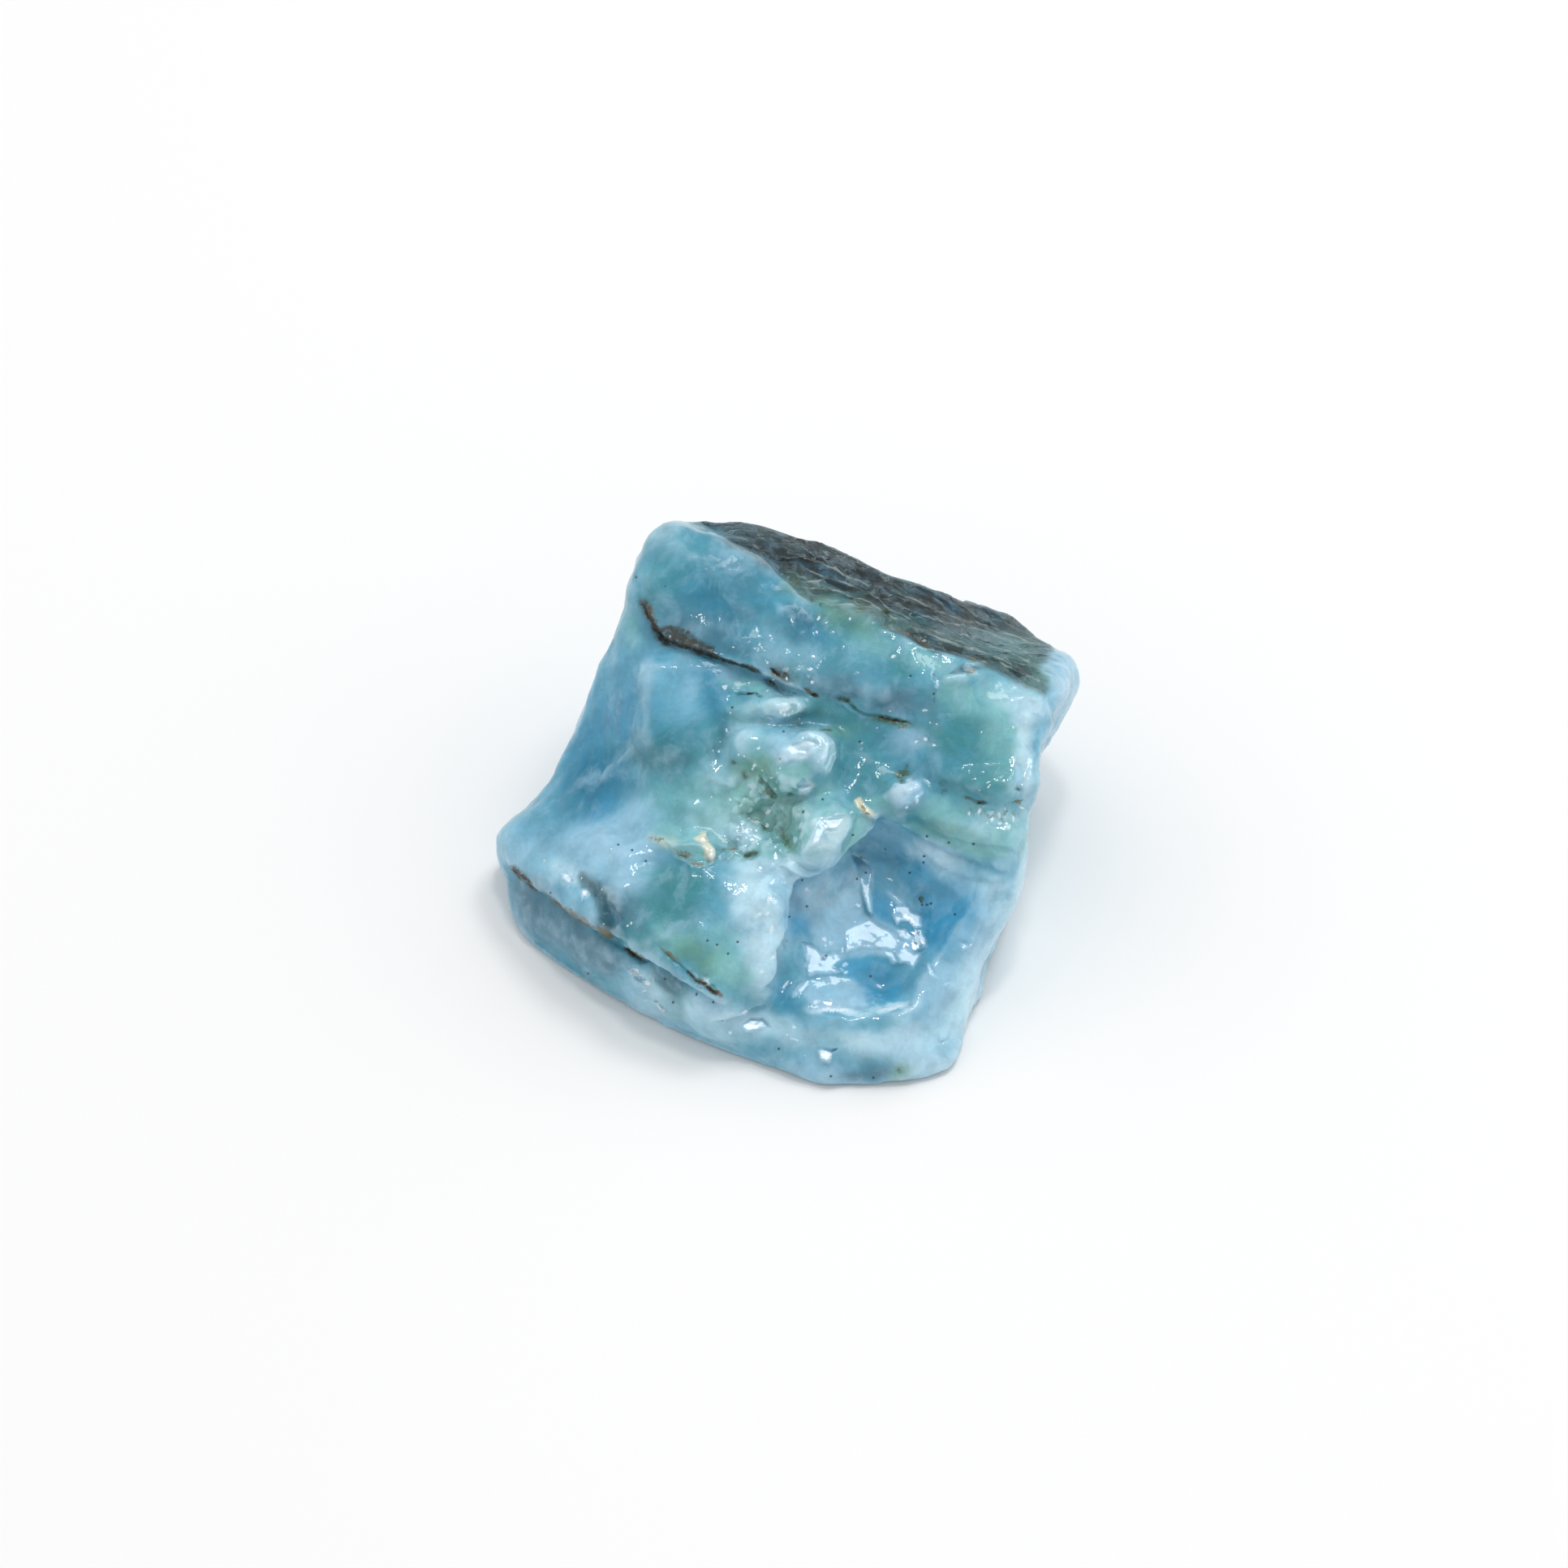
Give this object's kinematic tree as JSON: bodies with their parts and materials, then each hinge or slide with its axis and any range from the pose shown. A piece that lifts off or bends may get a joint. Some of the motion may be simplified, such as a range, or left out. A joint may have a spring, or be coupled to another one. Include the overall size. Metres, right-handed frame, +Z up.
{
  "type": "raw larimar stone",
  "caption": "Rough chunk of milky blue larimar: a leaning broken face with open partings, pale lumps and a scooped hollow, on a flat break it rests on.",
  "frame": {"origin": "middle of the stone's box, on the surface that it rests on", "axes": "+X along the stone's longest side, +Y away from the broad leaning face, +Z up"},
  "size_m": [0.044, 0.0414, 0.0233],
  "materials": {
    "larimar": "smooth, wet-looking, with milky blue to teal clouds, pale bands and dark brown-green seams"
  },
  "bodies": {
    "root": {"larimar_stone": "larimar"}
  },
  "joints": []
}
